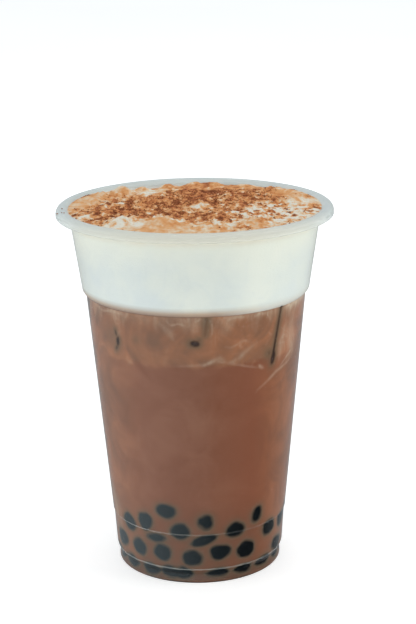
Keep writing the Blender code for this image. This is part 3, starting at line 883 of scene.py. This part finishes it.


# %% [markdown]
# Milk foam is a fine white froth, matt, with a touch of green-grey where it lies behind the
# plastic, and smeared a little in faint threads. Over the ledge tea has mixed in. Just under the
# rim it is tan in blots, partly a stain of cocoa and partly painted shadow of the rim. The
# material mixes cream, tan and brown by the measured thickness and two noises, one of 3 mm for the
# clumps and one of 0.8 mm for the grains, which is coarser than sieved cocoa really is, because
# the photograph resolves no less.


# %% What the foam's tints follow
def foam_shares(tree, place, patchy):
    """The thickness of the cocoa, and the share of each tint that is laid over the foam's."""
    parts = add_node(tree, "ShaderNodeSeparateXYZ", {0: place}).outputs
    height = parts["Z"]
    wet, cocoa = [add_node(tree, "ShaderNodeAttribute", attribute_name=name).outputs["Fac"]
                  for name in ("wet", "cocoa")]
    clumps, grains = [
        add_node(tree, "ShaderNodeTexNoise", {
            "Vector": place, "Scale": scale, "Detail": detail,
            "Roughness": roughness}).outputs["Fac"]
        for scale, detail, roughness in ((250.0, 4.0, 0.6), (1250.0, 2.0, 0.6))]
    fades = {}
    for name, value, start, end, low, high in (
            ("smeared", patchy, 0.0, 1.0, 0.0, 0.35),
            ("creamier", height, 0.112, 0.125, 0.0, 0.7),
            ("under rim", height, 0.1215, 0.1250, 0.0, 0.7),
            ("blots", patchy, 0.42, 0.62, 0.1, 0.8),
            ("above ledge", height, 0.0981, 0.1016, 0.0, 1.0),
            ("seeped", parts["X"], 0.006, 0.022, 1.0, 0.35),
            ("dry", wet, 0.0, 1.0, 1.0, 0.3),
            ("on top", cocoa, 0.001, 0.03, 0.0, 1.0)):
        fades[name] = add_node(tree, "ShaderNodeMapRange", {
            0: value, 1: start, 2: end, 3: low, 4: high}).outputs[0]
    # tan blots just under the rim: partly cocoa stain, partly painted shadow of the rim
    fades["smears"], fades["stain and rim shadow"] = [
        add_node(tree, "ShaderNodeMath", {0: first, 1: second}, operation="MULTIPLY").outputs[0]
        for first, second in ((threads(tree, place, 60.0, 0.03), fades["smeared"]),
                              (fades["under rim"], fades["blots"]))]
    # the cocoa's measured thickness, which clumps and grains break up where it is dry
    thick = -0.8
    for value, share in ((clumps, 0.9), (grains, 0.7)):
        thick = add_node(tree, "ShaderNodeMath", {0: value, 1: share, 2: thick},
                         operation="MULTIPLY_ADD").outputs[0]
    thick = add_node(tree, "ShaderNodeMath", {0: thick, 1: fades["dry"], 2: cocoa},
                     operation="MULTIPLY_ADD", use_clamp=True).outputs[0]
    return thick, fades


# %% Milk foam with cocoa
def milk_foam():
    """Milk foam: matt fine froth, dusted with cocoa on top."""
    material, tree, place = new_material("milk_foam_froth")
    patchy, colour = clouded(tree, place, 45.0, 3.0, 0.5,
                             [(0.35, "#DCE3E1"), (0.5, "#E3E8E1"), (0.65, "#EAEDE3")])
    thick, shares = foam_shares(tree, place, patchy)
    mixing, dusted = [
        add_node(tree, "ShaderNodeValToRGB", {0: value}, ramp=stops).outputs[0]
        for value, stops in (
            (shares["above ledge"], [(0.0, "#8E6F60"), (0.12, "#AB897C"), (0.45, "#D7BEAE"),
                                     (0.68, "#EAE3DE"), (1.0, "#FFFFFF")]),
            (thick, [(0.10, "#F6F0E2"), (0.22, "#F4DABA"), (0.36, "#EFB47D"), (0.50, "#E29A60"),
                     (0.64, "#CC8052"), (0.80, "#AE6842"), (1.0, "#7C472D")]))]
    for name, tint, blend in (
            ("smears", "#D2DADC", "MIX"), ("creamier", "#EEEEDF", "MIX"),
            ("stain and rim shadow", "#D9C0A2", "MIX"), ("seeped", mixing, "MULTIPLY"),
            ("on top", dusted, "MIX")):
        colour = add_node(tree, "ShaderNodeMix", {"Factor": shares[name], 6: colour, 7: tint},
                          data_type="RGBA", blend_type=blend).outputs[2]
    froth = add_node(tree, "ShaderNodeTexNoise", {
        "Vector": place, "Scale": 1600.0, "Detail": 2.0, "Roughness": 0.5})
    bump = add_node(tree, "ShaderNodeBump", {
        "Height": froth.outputs["Fac"], "Strength": 0.35, "Distance": 0.0003})
    shader = add_node(tree, "ShaderNodeBsdfPrincipled", {
        "Base Color": colour, "Roughness": 0.75, "IOR": 1.34,
        "Specular IOR Level": 0.25, "Normal": bump.outputs[0]})
    add_node(tree, "ShaderNodeOutputMaterial", {"Surface": shader.outputs[0]})
    return material


# %% [markdown]
# The foam is made, and at each of its points the cocoa is measured. Only the top gets any: a
# point counts as top where it is above the rim, or inside the wall.

# %% The foam and its cocoa
foam_shape = make_foam()
foam_surface = BVHTree.FromBMesh(foam_shape)
foam = finish_piece(foam_shape, "milk_foam_filling", milk_foam(),
                    replaces="milk_foam", sharp=75)


def measure_foam(mesh):
    """Writes the cocoa's thickness and wetness at each point of the foam."""
    cocoa_values, wet_values = [], []
    for vert in mesh.vertices:
        x, y, z = vert.co / MM
        on_top = z > 126.7 or (z > 120 and hypot(x, y) < filled_radius(z) - 0.2)
        cocoa_values.append(max(cocoa_at(x, y), 0.04) if on_top else 0.0)
        wet_values.append(wet_at(x, y))
    write_values(mesh, cocoa=cocoa_values, wet=wet_values)
    print("mean cocoa on top:", round(sum(cocoa_values) / sum(v > 0 for v in cocoa_values), 2))


measure_foam(foam.data)

# %% [markdown]
# The coarser cocoa crumbs stand up from the foam and throw small shadows, so they are real
# pieces: icospheres of 20 faces, squashed and turned, dropped onto the foam where the cocoa
# lies thick. A few have fallen on the rim and lie along its inner edge.

# %% The cocoa crumbs
CRUMBS = 5000
BATCH = 200             # crumbs made at a time, as a large bmesh grows slowly
CRUMB_CEILING = 130.3   # mm that no crumb reaches past


def crumb_places():
    """Place and radius in mm of every crumb."""
    draw = random.Random(SEED + 5)
    places = []
    while len(places) < CRUMBS:
        reach, turn = 43.0 * sqrt(draw.random()), draw.uniform(0, 2 * pi)
        x, y = reach * cos(turn), reach * sin(turn)
        clump = 0.5 + noise.noise(Vector((x * 0.35, y * 0.35, 5.5)))
        loose = (1 - wet_at(x, y)) * (y < 24)
        if draw.random() < max(cocoa_at(x, y) - 0.35, 0.0) * clump * loose * 2.0:
            places.append((x, y, draw.uniform(0.10, 0.24) * (1 + 0.6 * (draw.random() > 0.95))))
    for x, y in ((-46.4, -8.5), (-46.1, -9.4), (-43.8, -11.8), (-44.6, -11.0), (-44.9, -5.4)):
        places.append((x, y, 0.30))
    for turn in (-66, -58, -54, -47, -41, -33, -27, -14, 6, 9, 21, 34, 46):
        reach = draw.uniform(42.7, 43.5)
        places.append((reach * sin(radians(turn)), -reach * cos(radians(turn)),
                       draw.uniform(0.24, 0.42)))
    return places


def make_crumbs(surfaces):
    """Drops every crumb onto the higher of the surfaces under it."""
    whole = bmesh.new()
    draw = random.Random(SEED + 6)
    places = crumb_places()
    for start in range(0, len(places), BATCH):
        some = bmesh.new()
        for x, y, size in places[start:start + BATCH]:
            hits = [tree.ray_cast(Vector((x * MM, y * MM, (CRUMB_CEILING + 10) * MM)),
                                  Vector((0, 0, -1)))[0] for tree in surfaces]
            top = max(hit.z for hit in hits if hit is not None)
            spin = Matrix.Rotation(draw.uniform(0, pi), 4, Vector(
                (draw.uniform(-1, 1), draw.uniform(-1, 1), 1)).normalized())
            flat = Matrix.Diagonal((1.0, draw.uniform(0.6, 1.0), draw.uniform(0.5, 0.8), 1.0))
            top = min(top, (CRUMB_CEILING - size * 1.3) * MM)
            at = Matrix.Translation((x * MM, y * MM, top + size * 0.25 * MM))
            bmesh.ops.create_icosphere(some, subdivisions=1, radius=size * MM,
                                       matrix=at @ spin @ flat)
        join_shapes(whole, some)
    return whole


# %% [markdown]
# Cocoa powder is a matt, dry, reddish brown, and its crumbs differ from red-brown to dark brown.
# One noise that runs through all of them gives each its own tone, so one material does.


# %% Cocoa powder
def cocoa_powder():
    """Cocoa powder, sieved: dry and matt, its crumbs from red-brown to dark brown."""
    material, tree, place = new_material("cocoa_powder")
    tint = clouded(tree, place, 900.0, 1.0, 0.5, [
        (0.3, "#74412A"), (0.5, "#945839"), (0.7, "#B3744D")])[1]
    shader = add_node(tree, "ShaderNodeBsdfPrincipled", {
        "Base Color": tint, "Roughness": 0.9, "IOR": 1.45, "Specular IOR Level": 0.2})
    add_node(tree, "ShaderNodeOutputMaterial", {"Surface": shader.outputs[0]})
    return material


cup_surface = BVHTree.FromObject(cup, bpy.context.evaluated_depsgraph_get())
finish_piece(make_crumbs([foam_surface, cup_surface]), "cocoa_crumbs", cocoa_powder(),
             sharp=30)

# %% [markdown]
# The cup stands on a plain pale table that runs out of the picture on all sides, with a round
# paper backdrop far behind it. Both glow a little, as white things do in an evenly lit studio,
# and both are kept out of the mirror image in the clear wall, which would otherwise go white.


# %% The table
def glowing_white(name, scale, shades, roughness, glow, glow_tint=None):
    """A matt white surface that gives off a little light, with a barely visible cloud."""
    material, tree, place = new_material(name)
    tint = clouded(tree, place, scale, 2.0, 0.5, list(zip((0.3, 0.7), shades)))[1]
    shader = add_node(tree, "ShaderNodeBsdfPrincipled", {
        "Base Color": tint, "Roughness": roughness, "Specular IOR Level": 0.1,
        "Emission Color": glow_tint or tint, "Emission Strength": glow})
    add_node(tree, "ShaderNodeOutputMaterial", {"Surface": shader.outputs[0]})
    return material


def add_stage(shape, name, material):
    """Hands a bmesh over as part of the stage, kept out of the clear wall's mirror image."""
    made = add_object(shape, name, material)
    made.visible_glossy = False
    return made


table_shape = bmesh.new()
bmesh.ops.create_grid(table_shape, x_segments=1, y_segments=1, size=5.0)
add_stage(table_shape, "table",
          glowing_white("pale_laminate", 3.0, ("#F6F7F8", "#FAFAFA"), 0.8, 0.50, "#FFFFFF"))

# %% The backdrop
paper_shape = bmesh.new()
bmesh.ops.create_cone(paper_shape, cap_ends=False, segments=64, radius1=4.8, radius2=4.8,
                      depth=6.0, matrix=Matrix.Translation((0.0, 0.0, 3.0)))
bmesh.ops.reverse_faces(paper_shape, faces=paper_shape.faces)
paper = add_stage(paper_shape, "backdrop",
                  glowing_white("white_paper", 0.5, ("#FAFBFB", "#FEFEFE"), 0.9, 0.85))
paper.visible_diffuse = paper.visible_shadow = False

# %% [markdown]
# A white room with three large soft lamps lights the cup. The room is brightest at the window on
# the left and above, and a little at the back; the clear wall mirrors it, which lays the pale
# haze over the cup's left side. A picture of a real room would do the same, but two soft fades
# over all directions are enough for it.

# %% The room and the lamps
room = bpy.data.worlds.new("white_room")
room.use_nodes = True
sky = room.node_tree
sky.nodes.clear()
looking = add_node(sky, "ShaderNodeTexCoord").outputs["Generated"]
brightness = 0.0
for towards, start, end, low, high in (((-1.0, -0.3, 0.8), -0.6, 0.5, 0.02, 0.63),
                                       ((0.4, 0.92, -0.1), 0.45, 0.97, 0.0, 0.35)):
    facing = add_node(sky, "ShaderNodeVectorMath", {0: looking, 1: towards},
                      operation="DOT_PRODUCT")
    lit = add_node(sky, "ShaderNodeMapRange", {
        0: facing.outputs["Value"], 1: start, 2: end, 3: low, 4: high})
    brightness = add_node(sky, "ShaderNodeMath", {0: brightness, 1: lit.outputs[0]},
                          operation="ADD").outputs[0]
room_light = add_node(sky, "ShaderNodeBackground", {"Color": "#EEF5F9", "Strength": brightness})
add_node(sky, "ShaderNodeOutputWorld", {"Surface": room_light.outputs[0]})
bpy.context.scene.world = room

LIT_POINT = Vector((0, 0, 0.08))
for name, place, power, colour in (("left_soft_box", (-1.25, -0.2, 0.6), 2.8, "#FFF9F0"),
                                   ("right_soft_box", (1.3, -0.15, 0.55), 7.6, "#FFFDF8"),
                                   ("top_soft_box", (0.1, 0.3, 1.3), 2.4, "#FFFFFF")):
    light = bpy.data.lights.new(name, "AREA")
    light.shape, light.size, light.energy = "SQUARE", 0.9, power
    light.color = linear(colour)[:3]
    lamp = bpy.data.objects.new(name, light)
    bpy.context.scene.collection.objects.link(lamp)
    lamp.location = place
    lamp.visible_glossy = False
    lamp.rotation_euler = (LIT_POINT - Vector(place)).to_track_quat("-Z", "Y").to_euler()
    print(name, power, "W")

# %% [markdown]
# The camera stands 0.63 m from the cup and looks down by about 16 degrees. It could be aimed by
# eye, but its place and turn were fitted to the rim, the ledge, the rings and the foot, so that
# each of them lies where the photo has it.

# %% The camera
CAMERA_PLACE = Vector((0.0, -0.57776, 0.25123))
CAMERA_RIGHT = Vector((0.99985801, -0.01067019, -0.01304226))
CAMERA_UP = Vector((0.01543645, 0.26957915, 0.96285451))
CAMERA_BACK = Vector((-0.00675792, -0.96291912, 0.26970558))
view = bpy.data.cameras.new("camera")
view.sensor_width = 36.0
view.lens = 99.58
camera = bpy.data.objects.new("camera", view)
bpy.context.scene.collection.objects.link(camera)
stand = Matrix((CAMERA_RIGHT, CAMERA_UP, CAMERA_BACK)).transposed().to_4x4()
stand.translation = CAMERA_PLACE
camera.matrix_world = stand
bpy.context.scene.camera = camera
bpy.context.scene.view_settings.view_transform = "Standard"
print("the camera looks down by", round(degrees(asin(CAMERA_BACK.z)), 1), "degrees")

# %% The end
bpy.context.view_layer.update()
